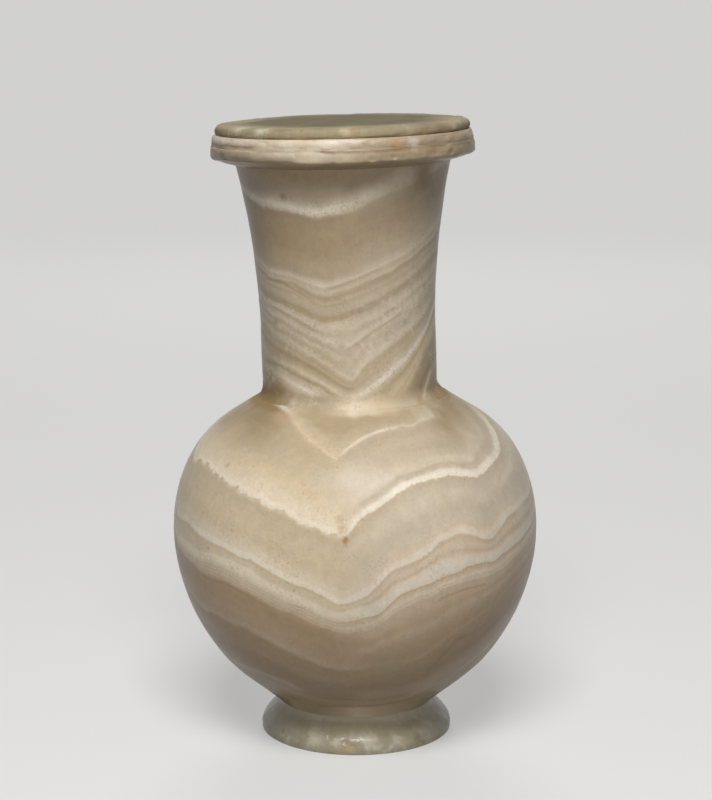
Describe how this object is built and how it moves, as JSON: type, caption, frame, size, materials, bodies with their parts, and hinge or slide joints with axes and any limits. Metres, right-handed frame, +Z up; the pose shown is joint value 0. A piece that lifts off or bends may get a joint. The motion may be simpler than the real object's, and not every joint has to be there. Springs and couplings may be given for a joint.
{
  "type": "lidded stone vase",
  "caption": "Tall lidded jar in banded pale stone: a round belly on a low flared foot, a long flared neck with a broad rim, and a flat disc lid.",
  "frame": {"origin": "on the surface the vase stands on, under the middle of its belly", "axes": "+Z up; the pictured side faces -Y; the neck leans slightly towards -X"},
  "size_m": [0.1424, 0.1424, 0.2411],
  "materials": {
    "jar_stone": "satin",
    "foot_stone": "satin",
    "lid_stone": "satin",
    "plaster": "matte"
  },
  "bodies": {
    "jar": {"foot": "foot_stone", "foot_bedding": "plaster", "belly": "jar_stone", "neck_bedding": "plaster", "neck": "jar_stone"},
    "lid": {"lid": "lid_stone"}
  },
  "joints": [
    {"name": "lid_lift", "type": "slide", "parent": "jar", "child": "lid", "axis": [-0.0279, 0, 0.9996], "range_m": [0, 0.06]}
  ]
}
